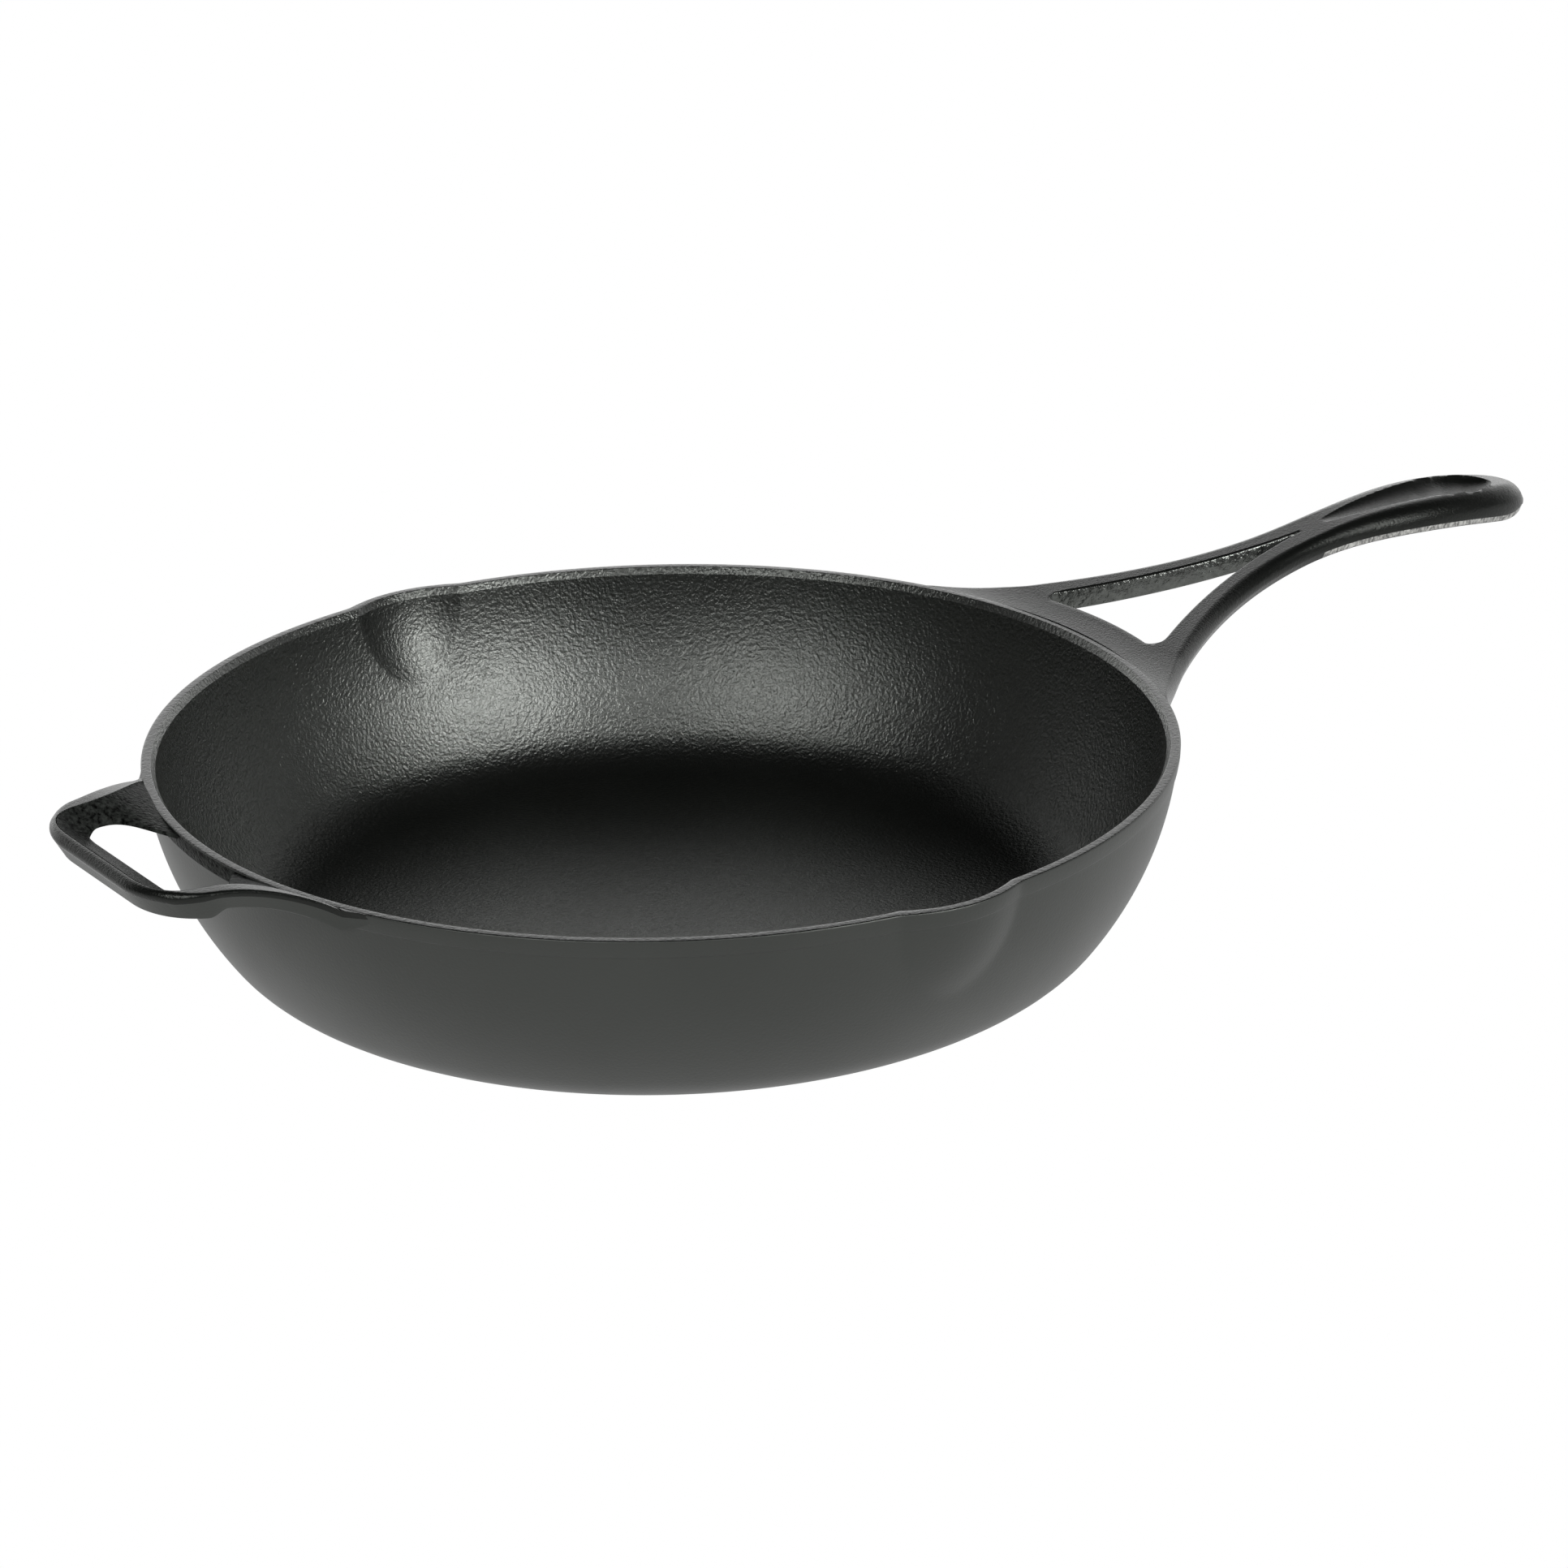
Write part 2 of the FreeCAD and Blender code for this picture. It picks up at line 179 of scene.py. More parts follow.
def mesh_object(name, co, faces, sharp=32):
    me = bpy.data.meshes.new(name)
    me.from_pydata([tuple(c) for c in np.asarray(co) * MM], [], faces)
    me.validate()
    me.update()
    ob = bpy.data.objects.new(name, me)
    bpy.context.scene.collection.objects.link(ob)
    me.shade_smooth()
    me.set_sharp_from_angle(angle=math.radians(sharp))
    return ob


def make_pan_wall():
    prof = pan_profile()
    ang = columns()
    rows = []
    top_index = int(np.argmax(prof[:, 1] >= HEIGHT - 1e-6))
    for i, (r, z) in enumerate(prof):
        d = spout(ang, z, i <= top_index + 3)
        if z < SPOUT_FOOT:
            d = d * 0
        rr = r + d
        rows.append(np.stack([rr * np.cos(ang), rr * np.sin(ang), np.full_like(ang, z)], -1))
    return ring_mesh("pan_side", np.array(rows))


def make_pan_floor():
    """The flat disc of the floor, inside and underneath."""
    ang = columns()
    rad = [BASE, 105, 95, 80, 60, 40, 20, 8]
    co, faces = [], []
    for level, up in ((METAL, True), (0.0, False)):
        start = len(co)
        for r in rad:
            co += [(r * math.cos(a), r * math.sin(a), level) for a in ang]
        centre = len(co)
        co.append((0, 0, level))
        n = len(ang)
        for k in range(len(rad) - 1):
            for j in range(n):
                jj = (j + 1) % n
                a, b = start + k * n, start + (k + 1) * n
                q = (a + j, a + jj, b + jj, b + j)
                faces.append(q if up else q[::-1])
        a = start + (len(rad) - 1) * n
        for j in range(n):
            t = (a + j, a + (j + 1) % n, centre)
            faces.append(t if up else t[::-1])
    return mesh_object("pan_bottom", co, faces)


# ---------------------------------------------------------------- long handle, mm
ROOT_SPREAD = 25.4         # degrees either side of the handle where an arm starts
ROOT_TURN = 10.0           # degrees between the rim's tangent and the arm there
INSET = 0.1                # the roots start this far inside the rim's edge
BURIED = 0.7               # the castings run on this far into the wall
NECK_X, NECK_HALF = RIM + 89.5, 10.3
WIDE_X, WIDE_HALF = RIM + 141.5, 14.8
TIP_X = RIM + 179.3
WEB_EDGE = RIM + 10.5
FORK_SPREAD = 10.8         # degrees either side of the handle to the opening's corners
FORK_TIP = RIM + 88.0
FORK_CORNER = 3.0
HANDLE_METAL = 7.0
RAMP = math.radians(9.35)
KINK_SOFT = 7.0            # length of the soft bend where the ramp starts
TOP_KNEE, UNDER_KNEE = RIM + 95.5, RIM + 84.0
CREST = 230.0              # radius of the grip's arch, seen from the side
NOSE_X, NOSE_RUN, NOSE_LIFT = 314.0, 18.0, 5.0
NOSE_SPLIT = 312.0         # the grip's sections fan out round the nose past here
ARM_END = 247.0            # outer edge of the section where the fork closes
WEB_ROOT = 161.5           # outer edge of the section at the web's corner
GROOVE_X, GROOVE_WIDE_X, GROOVE_NOSE = 248.0, 303.0, 15.5
GROOVE_HALF, GROOVE_DEPTH = 9.3, 3.4
GRIP_X, GRIP_RUN = 232.0, 45.0
ARM_ROUND, GRIP_ROUND = 4.0, 2.5
SLIVER = 0.01              # smallest edge round, where two patches meet
EDGE_ROUND = 0.9           # round along the opening's edges


def unit(v):
    return v / np.linalg.norm(v)


def bez(poles, n):
    """n + 1 points along a Bezier curve."""
    t = np.linspace(0, 1, n + 1)[:, None]
    pts = [np.array(p, float)[None, :].repeat(n + 1, 0) for p in poles]
    while len(pts) > 1:
        pts = [(1 - t) * a + t * b for a, b in zip(pts, pts[1:])]
    return pts[0]


def arc_len(pts):
    return np.concatenate([[0], np.cumsum(np.linalg.norm(np.diff(pts, axis=0), axis=1))])


def resample(pts, n):
    """n points evenly spaced along a polyline."""
    s = arc_len(pts)
    at = np.linspace(0, s[-1], n)
    return np.stack([np.interp(at, s, pts[:, k]) for k in range(pts.shape[1])], -1)


def cut_at(pts, x):
    """Index of the first point of an outline that lies at or past x."""
    return int(np.argmax(pts[:, 0] >= x))


def pol(r, deg):
    a = math.radians(deg)
    return np.array([r * math.cos(a), r * math.sin(a)])


def handle_outline():
    """One side of the handle in plan, from the rim to the tip."""
    start = pol(RIM - INSET, ROOT_SPREAD)
    heading = math.radians(ROOT_SPREAD - 90 + ROOT_TURN)
    h = np.array([math.cos(heading), math.sin(heading)])
    neck, wide, tip = (np.array(p) for p in ([NECK_X, NECK_HALF], [WIDE_X, WIDE_HALF], [TIP_X, 0]))
    span, swell, nose = neck[0] - start[0], wide[0] - neck[0], tip[0] - wide[0]
    x = np.array([1, 0])
    return np.concatenate([
        bez([start, start + h * 0.15 * span, neck - x * 0.48 * span, neck], 120)[:-1],
        bez([neck, neck + x * 0.4 * swell, wide - x * 0.42 * swell, wide], 80)[:-1],
        bez([wide, wide + x * 0.63 * nose, [tip[0], 0.63 * wide[1]], tip], 100)])


def hole_outline():
    """Half of the opening between the arms, split at the middle of its rounded corner."""
    corner, tip = pol(WEB_EDGE, FORK_SPREAD), np.array([FORK_TIP, 0])
    bend = np.array([(corner[0] + tip[0]) / 2, 0.142 * corner[1]])
    a, b = unit(pol(WEB_EDGE, 8) - corner), unit(bend - corner)
    half = math.acos(float(a @ b)) / 2
    middle = corner + unit(a + b) * FORK_CORNER / math.sin(half)
    cut = FORK_CORNER / math.tan(half)
    first, last = corner + a * cut, corner + b * cut
    s, e = first - middle, last - middle
    turn = math.pi - 2 * half
    sign = 1 if s[0] * e[1] - s[1] * e[0] > 0 else -1
    fillet = []
    for k in range(17):
        w = sign * turn * k / 16
        fillet.append(middle + np.array([s[0] * math.cos(w) - s[1] * math.sin(w),
                                         s[0] * math.sin(w) + s[1] * math.cos(w)]))
    fillet = np.array(fillet)
    low = math.degrees(math.atan2(first[1], first[0]))
    web = np.array([pol(WEB_EDGE, low * k / 24) for k in range(24)])
    side = bez([corner, bend, tip], 160)
    side = side[np.linalg.norm(side - corner, axis=1) > cut * 1.02]
    return np.concatenate([web, fillet[:9]]), np.concatenate([fillet[8:], side])


def crest_arch(x, knee, level):
    """The grip's arch, tangent to the ramp at the knee; level is the ramp's height at the rim."""
    cx = knee + CREST * math.sin(RAMP)
    cz = level + (knee - RIM) * math.tan(RAMP) - CREST * math.cos(RAMP)
    return cz + np.sqrt(np.maximum(CREST ** 2 - (x - cx) ** 2, 0))


def top_line(x):
    """Height of the handle's top along its middle: level, a ramp, then an arch."""
    x = np.asarray(x, float)
    past = x - RIM
    less = KINK_SOFT * KINK_SOFT / 4 / np.maximum(np.abs(past), KINK_SOFT)
    ramp = (soft_plus(past, KINK_SOFT) - less) * math.tan(RAMP)
    ramp = np.where(x < RIM - 12, 0, ramp)
    return np.where(x > TOP_KNEE, crest_arch(x, TOP_KNEE, HEIGHT), HEIGHT + ramp)


def under_line(x):
    """Height of the handle's underside: a ramp, then an arch that lifts a little at the nose."""
    x = np.asarray(x, float)
    level = HEIGHT - HANDLE_METAL
    ramp = level + np.clip(x - RIM, 0, None) * math.tan(RAMP)
    lift = np.clip((x - NOSE_X) / NOSE_RUN, 0, 1)
    return np.where(x > UNDER_KNEE, crest_arch(x, UNDER_KNEE, level), ramp) + NOSE_LIFT * lift * lift


def groove(x, y):
    """Depth of the thumb groove: a teardrop, narrow toward the pan, round toward the tip."""
    run = GROOVE_WIDE_X - GROOVE_X
    wide = GROOVE_HALF * np.clip((x - GROOVE_X) / run, 0, 1) ** 0.62 + 1e-6
    past = np.clip((x - GROOVE_WIDE_X) / GROOVE_NOSE, 0, None)
    inside = 1 - (y / wide) ** 2 - past ** 2
    depth = GROOVE_DEPTH * np.clip((x - GROOVE_X - 2) / 42, 0, 1) ** 0.8
    return depth * np.clip(inside, 0, 1) ** 0.58


def quarter(radius, n):
    """(distance from the edge, drop) along a round, from its start to the edge."""
    a = np.linspace(0, math.pi / 2, n + 1)
    return [(radius * (1 - math.sin(t)), radius * (1 - math.cos(t))) for t in a]


def section(c_in, c_out, x_ref, closed_inside, n_flat, fade=1.0):
    """Points of one cross-section, from the inner edge over the top to the outer edge and back."""
    width = np.linalg.norm(c_out - c_in)
    along = (c_out - c_in) / max(width, 1e-9)
    grip = float(np.clip((x_ref - GRIP_X) / GRIP_RUN, 0, 1))
    grip = grip * grip * (3 - 2 * grip)
    big = ARM_ROUND + GRIP_ROUND * grip
    big = min(big, 0.55 * width + 2.6 * grip)
    small = max(EDGE_ROUND * fade, SLIVER) if closed_inside else 0.0
    path = []
    if closed_inside:
        path += [(d, small - small * math.sin(a), 0) for a, d in
                 [(t, small * (1 - math.cos(t))) for t in np.linspace(0, math.pi / 2, 4)]]
    else:
        path.append((0.0, 0.0, 0))
    for k in range(1, n_flat + 1):
        path.append((small + (width - big - small) * k / n_flat, 0.0, 0))
    for d, drop in quarter(big, 9)[1:]:
        path.append((width - d, drop, 0))
    low = min(1.0, 0.12 * width)
    path += [(width, 2.2 * low, 1), (width - 0.1 * low, 2.0 * low, 1),
             (width - 0.85 * low, 0.2 * low, 1), (width - low, 0.0, 1)]
    for k in range(1, 4):
        path.append((width - low - (width - low - small) * k / 4, 0.0, 1))
    if closed_inside:
        path += [(small, 0.0, 1), (0.3 * small, 0.3 * small, 1), (0.0, small, 1)]
    else:
        path.append((0.0, 0.0, 1))
    pts = []
    for d, dz, lower in path:
        p = c_in + along * d
        if lower:
            pts.append((p[0], p[1], float(under_line(p[0])) + dz))
        else:
            z = float(top_line(p[0])) - dz
            z -= float(groove(p[0], p[1])) if p[0] > GROOVE_X else 0.0
            pts.append((p[0], p[1], z))
    return pts


def bend_to_rim(p, q, shares, blend):
    """Points from p to q, along a circle about the pan (blend 1) or straight (blend 0)."""
    ra, rb = np.linalg.norm(p), np.linalg.norm(q)
    ta, tb = math.atan2(p[1], p[0]), math.atan2(q[1], q[0])
    out = []
    for s in shares:
        r, t = ra + (rb - ra) * s, ta + (tb - ta) * s
        curved = np.array([r * math.cos(t), r * math.sin(t)])
        out.append(blend * curved + (1 - blend) * (p + (q - p) * s))
    return out


def make_long_handle():
    """Sections from the rim to the tip for one half, its mirror image, and the web between."""
    outline = handle_outline()
    web_edge, side_edge = hole_outline()
    mid = web_edge[-1]
    phi = math.degrees(math.atan2(mid[1], mid[0]))
    inner_r = RIM - BURIED
    shared_r = web_radii(inner_r, np.linalg.norm(mid), SLIVER)
    shared = np.array([pol(r, phi) for r in shared_r])
    i1, i2, i3 = (cut_at(outline, x) for x in (WEB_ROOT, ARM_END, NOSE_SPLIT))
    start = outline[0] * inner_r / np.linalg.norm(outline[0])
    root = np.concatenate([[start], outline[:i1 + 1]])
    stations = []
    for a, b, closed in ((shared, resample(root, len(shared)), True),
                         (resample(side_edge, 110), resample(outline[i1:i2 + 1], 110), True),
                         (np.stack([np.linspace(side_edge[-1][0], NOSE_SPLIT, 110), np.zeros(110)], -1),
                          resample(outline[i2:i3 + 1], 110), False),
                         (np.stack([np.linspace(NOSE_SPLIT, NOSE_SPLIT + 3, 40), np.zeros(40)], -1),
                          resample(outline[i3:], 40), False)):
        first = 0 if not stations else 1
        stations += [(p, q, closed) for p, q in zip(a[first:], b[first:])]
    made, kinds = [], []
    for p, q, closed in stations:
        x_ref = (p[0] + q[0]) / 2
        fade = min(1.0, max(0, len(made) - len(shared) + 1) / 8)
        sec = np.array(section(p, q, x_ref, closed, 26, fade))
        near = 1 - float(np.clip((np.linalg.norm(p) - inner_r) / 16, 0, 1))
        if near > 0:
            width = np.linalg.norm(q - p)
            shares = np.linalg.norm(sec[:, :2] - p, axis=1) / width
            sec[:, :2] = np.array(bend_to_rim(p, q, shares, near))
        made.append(sec)
        kinds.append(closed)
    co, faces = [], []

    def stitch(a, b, la, lb):
        n = min(la, lb)
        for k in range(n - 1):
            faces.append((a + k, a + k + 1, b + k + 1, b + k))

    starts = []
    for sec in made:
        starts.append(len(co))
        co += [tuple(c) for c in sec]
    for k in range(len(made) - 1):
        la, lb = len(made[k]), len(made[k + 1])
        a, b = starts[k], starts[k + 1]
        if la == lb:
            stitch(a, b, la, lb)
            if kinds[k] and k >= len(shared) - 1:
                faces.append((a + la - 1, a, b, b + lb - 1))
        else:
            for j in range(lb - 2):
                faces.append((a + 3 + j, a + 4 + j, b + 1 + j, b + j))
            faces.append((a + 3 + lb - 2, a + 3 + lb - 1, b + lb - 1, b + lb - 2))
    half = len(co)
    co = np.array(co)
    mirrored = co * [1, -1, 1]
    faces_all = faces + [tuple(half + i for i in f[::-1]) for f in faces]
    pts = np.concatenate([co, mirrored])
    web_co, web_faces = web_patch(web_edge, inner_r)
    n = len(pts)
    pts = np.concatenate([pts, web_co])
    faces_all += [tuple(n + i for i in f) for f in web_faces]
    ob = mesh_object("grip_casting", pts, faces_all)
    tidy_mesh(ob, 38)
    return ob


def web_radii(inner_r, r, small):
    """Radii across the web from inside the wall to its edge, whose round is small."""
    return list(np.linspace(inner_r, r - small, 9)) + [r - 0.5 * small, r - 0.13 * small, r]


def web_patch(edge, inner_r):
    """The shelf between the rim and the opening, top, edge and underside."""
    angles = np.degrees(np.arctan2(edge[:, 1], edge[:, 0]))
    radii = np.linalg.norm(edge, axis=1)
    order = np.concatenate([-np.arange(len(edge) - 1, 0, -1), np.arange(len(edge))])
    cols = []
    for k in order:
        a, r = angles[abs(k)] * (1 if k >= 0 else -1), radii[abs(k)]
        small = max(EDGE_ROUND * min(1.0, (len(edge) - 1 - abs(k)) / 8), SLIVER)
        path = [(q, small * (1 - math.sqrt(max(0, 1 - max(0, (q - r + small) / small) ** 2))), 0)
                for q in web_radii(inner_r, r, small)]
        path += [(r, small, 1), (r - 0.3 * small, 0.3 * small, 1)]
        path += [(q, 0.0, 1) for q in np.linspace(r - small, inner_r, 4)]
        col = []
        for q, dz, lower in path:
            p = pol(q, a)
            z = float(under_line(p[0])) + dz if lower else float(top_line(p[0])) - dz
            col.append((p[0], p[1], z))
        cols.append(col)
    rows = len(cols[0])
    co = [c for col in cols for c in col]
    faces = []
    for i in range(len(cols) - 1):
        for j in range(rows - 1):
            faces.append((i * rows + j, i * rows + j + 1, (i + 1) * rows + j + 1, (i + 1) * rows + j))
    return np.array(co), faces


def face_outward(bm):
    """Turn each connected patch of faces so that it points away from the metal."""
    tree = BVHTree.FromBMesh(bm)
    seen = set()
    for first in bm.faces:
        if first.index in seen:
            continue
        seen.add(first.index)
        patch, stack = [], [first]
        while stack:
            f = stack.pop()
            patch.append(f)
            for g in (g for e in f.edges if len(e.link_faces) == 2 for g in e.link_faces):
                if g.index not in seen:
                    seen.add(g.index)
                    stack.append(g)
        inward = 0
        for f in patch[::7]:
            way = (f.normal + Vector((0.03, 0.02, 0.01))).normalized()
            at, hits = f.calc_center_median() + way * 0.01 * MM, 0
            while hits < 12:
                at = tree.ray_cast(at, way)[0]
                if at is None:
                    break
                at, hits = at + way * 0.01 * MM, hits + 1
            inward += 1 if hits % 2 else -1
        if inward > 0:
            bmesh.ops.reverse_faces(bm, faces=patch)


OUTSIDE_X = 200.0          # well outside the pan, where a handle's mesh should be closed


def tidy_mesh(ob, sharp):
    """Join coincident points, close small gaps outside the pan, turn faces outward, mark creases."""
    bm = bmesh.new()
    bm.from_mesh(ob.data)
    bmesh.ops.remove_doubles(bm, verts=bm.verts, dist=0.02 * MM)
    bmesh.ops.dissolve_degenerate(bm, edges=bm.edges, dist=0.002 * MM)
    gaps = [e for e in bm.edges if e.is_boundary and abs(e.verts[0].co.x) > OUTSIDE_X * MM]
    bmesh.ops.holes_fill(bm, edges=gaps, sides=12)
    bmesh.ops.recalc_face_normals(bm, faces=bm.faces)
    bm.faces.index_update()
    bm.normal_update()
    face_outward(bm)
    bm.to_mesh(ob.data)
    bm.free()
    ob.data.shade_smooth()
    ob.data.set_sharp_from_angle(angle=math.radians(sharp))


# ---------------------------------------------------------------- assist handle, mm
LOOP_SPREAD = 23.2         # degrees either side of the loop where an arm starts
LOOP_TURN = 17.0           # degrees between the rim's tangent and the arm there
LOOP_ROOT = 26.6           # degrees to where the blend into the rim begins
LOOP_CREST_X, LOOP_CREST_Z = RIM + 15.5, HEIGHT + 6.4
LOOP_ARCH = 58.0           # radius of the arms' rise, seen from the side
ARM_METAL, BAR_EXTRA = 6.0, 2.4
STEP_X, STEP_RUN = RIM + 16.5, 5.5
BAR_X = 187.0              # the bar's outer face
BAR_LEAN = 3.2             # how far that face leans in at its foot
BAR_HALF = 18.0            # half of the bar's straight part
KNUCKLE_BACK, KNUCKLE_Y = 16.0, 42.0
BORDER_X, BORDER_Y = 183.9, 36.8
HOLE_X, HOLE_Y = 175.2, 31.9
PANEL_DROP = 5.0           # from the border down to the edge of the finger hole
ROUGH, SMOOTH, SIDE = 0, 1, 2  # material slots of the assist handle


def loop_top(x):
    """Height of the loop's top: up an arc from the rim, then level."""
    away = np.clip(LOOP_CREST_X - np.asarray(x, float), 0, 40)
    arc = LOOP_CREST_Z - LOOP_ARCH + np.sqrt(LOOP_ARCH ** 2 - away ** 2)
    return np.maximum(arc, HEIGHT - 0.05)


def loop_under(x):
    """Height of the loop's underside, which steps down where the bar begins."""
    step = np.clip((np.asarray(x, float) - STEP_X) / STEP_RUN, 0, 1)
    step = step * step * (3 - 2 * step)
    return loop_top(x) - ARM_METAL - BAR_EXTRA * step


def outer_outline(lean):
    """Outer edge of half of the loop; lean draws the bar toward the pan, as its face does."""
    start = pol(RIM, LOOP_SPREAD)
    heading = math.radians(LOOP_SPREAD - 90 + LOOP_TURN)
    h = np.array([math.cos(heading), math.sin(heading)])
    tangent = np.array([math.sin(math.radians(27)), -math.cos(math.radians(27))])
    root = pol(RIM - INSET, LOOP_ROOT)
    bar_x = BAR_X - lean
    knuckle = np.array([bar_x - KNUCKLE_BACK, KNUCKLE_Y - lean / 3])
    inward = np.array([0.965, -0.26])
    run = knuckle[0] - start[0]
    on_arm = bez([start, start + h * 0.3 * run, knuckle - inward * 0.31 * run, knuckle], 80)
    k = cut_at(on_arm, start[0] + 6)
    lead = bez([root, root + tangent * 5, on_arm[k] - unit(on_arm[k + 1] - on_arm[k]) * 5,
                on_arm[k]], 30)
    corner = bez([knuckle, knuckle + inward * 9.9, [bar_x, 29.5], [bar_x, BAR_HALF]], 60)
    bar = bez([[bar_x, BAR_HALF], [bar_x, 0]], 30)
    return [np.concatenate([lead[:-1], on_arm[k:]]), corner, bar]


def loop_curves():
    """Outer edge at the top and at the foot, inner edge of the border, edge of the hole."""
    border_turn, hole_turn = [170.9, BORDER_Y], [166, HOLE_Y]
    border_end, hole_end = [BORDER_X, BAR_HALF], [HOLE_X, BAR_HALF]
    border = [bez([pol(RIM - 0.5, 22.6), [150, 48.5], [158, 38.2], border_turn], 60),
              bez([border_turn, [181, 36.1], [BORDER_X, 29.5], border_end], 60),
              bez([border_end, [BORDER_X, 0]], 30)]
    hole = [bez([pol(RIM - 0.8, 6.0), [158, 23], [158.5, HOLE_Y], hole_turn], 60),
            bez([hole_turn, [172.2, HOLE_Y], [HOLE_X, 29], hole_end], 60),
            bez([hole_end, [HOLE_X, 0]], 30)]
    counts = (70, 40, 24)
    made = []
    for curve in (outer_outline(0), outer_outline(BAR_LEAN), border, hole):
        parts = [resample(c, n) for c, n in zip(curve, counts)]
        made.append(np.concatenate([parts[0], parts[1][1:], parts[2][1:]]))
    return made


def loop_section(out, foot_out, lip, edge):
    """One cross-section of the loop, from the finger hole's foot over the top and under."""
    to_lip, to_edge = unit(lip - out), unit(edge - lip)
    on_bar = float(np.clip((out[0] - 172) / 12, 0, 1))
    on_bar = on_bar * on_bar * (3 - 2 * on_bar)
    big = min(1.1 + 1.4 * on_bar, 0.8 * np.linalg.norm(lip - out))
    pts = []

    def put(p, z, kind):
        pts.append((p[0], p[1], z, kind))

    top_e = float(loop_top(edge[0])) - PANEL_DROP
    foot = min(float(loop_under(edge[0])), top_e - 0.8)
    put(edge, foot, ROUGH)
    put(edge, top_e - 0.5, ROUGH)
    put(edge - to_edge * 0.15, top_e - 0.15, ROUGH)
    put(edge - to_edge * 0.5, top_e + 0.1, ROUGH)
    for k in range(1, 8):
        q = edge + (lip - edge) * (k / 8)
        z = top_e + (float(loop_top(lip[0])) - top_e) * (k / 8) ** 1.15
        put(q, z, ROUGH)
    z_lip = float(loop_top(lip[0]))
    put(lip + to_edge * 0.35, z_lip - 0.25, ROUGH)
    put(lip - to_edge * 0.05, z_lip - 0.04, ROUGH)
    put(lip - to_lip * 0.4, z_lip, SMOOTH)
    for k in range(1, 4):
        q = lip + (out + to_lip * big - lip) * (k / 4)
        put(q, float(loop_top(q[0])), SMOOTH)
    for d, drop in quarter(big, 6):
        q = out + to_lip * d
        put(q, float(loop_top(q[0])) - drop, SMOOTH)
    z_top, z_low = float(loop_top(out[0])), float(loop_under(out[0]))
    from_root = np.clip((LOOP_ROOT - math.degrees(math.atan2(out[1], out[0]))) / 4.5, 0, 1)
    z_low = z_top - (z_top - z_low) * (0.3 + 0.7 * math.sin(from_root * math.pi / 2))
    for k in range(1, 6):
        s = k / 5
        z = z_top - big + (z_low + 0.5 - z_top + big) * s
        put(out + (foot_out - out) * s, z, SIDE)
    put(foot_out + to_lip * 0.2, z_low + 0.12, SIDE)
    put(foot_out + to_lip * 0.6, z_low, SIDE)
    put(foot_out * 0.5 + (edge + to_lip * 0.6) * 0.5, (z_low + foot) / 2, SIDE)
    put(edge - unit(edge - out) * 0.4, foot, ROUGH)
    return pts


def make_assist_handle():
    """Sections round one half of the loop, and its mirror image."""
    secs = [loop_section(*places) for places in zip(*loop_curves())]
    rows = len(secs[0])
    half = np.array([[p[:3] for p in sec] for sec in secs])
    kinds = [p[3] for p in secs[0]]
    whole = np.concatenate([half, half[-2::-1] * [1, -1, 1]])
    n = len(whole)
    faces, mats = [], []
    for i in range(n - 1):
        for j in range(rows):
            jj = (j + 1) % rows
            faces.append((i * rows + j, (i + 1) * rows + j, (i + 1) * rows + jj, i * rows + jj))
            mats.append(min(kinds[j], kinds[jj]))
    co = whole.reshape(-1, 3) * [-1, -1, 1]
    ob = mesh_object("assist_casting", co, faces)
    for material in (rough_glint_mat, handle_mat, outside):
        ob.data.materials.append(material)
    for f, m in zip(ob.data.polygons, mats):
        f.material_index = m
    tidy_mesh(ob, 40)
    return ob


# ---------------------------------------------------------------- materials
class Nodes:
    """A material with one Principled shader, and short ways to add nodes to it."""

    def __init__(self, name):
        self.mat = bpy.data.materials.new(name)
        self.mat.use_nodes = True
        self.tree = self.mat.node_tree
        self.tree.nodes.clear()
        self.out = self.new("ShaderNodeOutputMaterial")
        self.bsdf = self.new("ShaderNodeBsdfPrincipled")
        self.link(self.bsdf.outputs["BSDF"], self.out.inputs["Surface"])
        self.coord = self.new("ShaderNodeTexCoord").outputs["Object"]

    def new(self, kind, **props):
        n = self.tree.nodes.new(kind)
        for k, v in props.items():
            setattr(n, k, v)
        return n

    def link(self, a, b):
        self.tree.links.new(a, b)

    def noise(self, scale, detail=3.0, rough=0.55, vector=None):
        n = self.new("ShaderNodeTexNoise")
        n.inputs["Scale"].default_value = scale
        n.inputs["Detail"].default_value = detail
        n.inputs["Roughness"].default_value = rough
        self.link(vector or self.coord, n.inputs["Vector"])
        return n.outputs["Fac"]

    def span(self, value, a, b, c, d):
        n = self.new("ShaderNodeMapRange", clamp=True)
        for k, v in enumerate((a, b, c, d)):
            n.inputs[k + 1].default_value = v
        self.link(value, n.inputs[0])
        return n.outputs[0]

    def mix(self, fac, a, b):
        n = self.new("ShaderNodeMix", data_type="RGBA")
        n.inputs["A"].default_value = (*a, 1)
        n.inputs["B"].default_value = (*b, 1)
        self.link(fac, n.inputs["Factor"])
        return n.outputs["Result"]

    def bump(self, height, distance, strength=1.0, normal=None):
        n = self.new("ShaderNodeBump")
        n.inputs["Distance"].default_value = distance
        n.inputs["Strength"].default_value = strength
        self.link(height, n.inputs["Height"])
        if normal is not None:
            self.link(normal, n.inputs["Normal"])
        return n.outputs["Normal"]


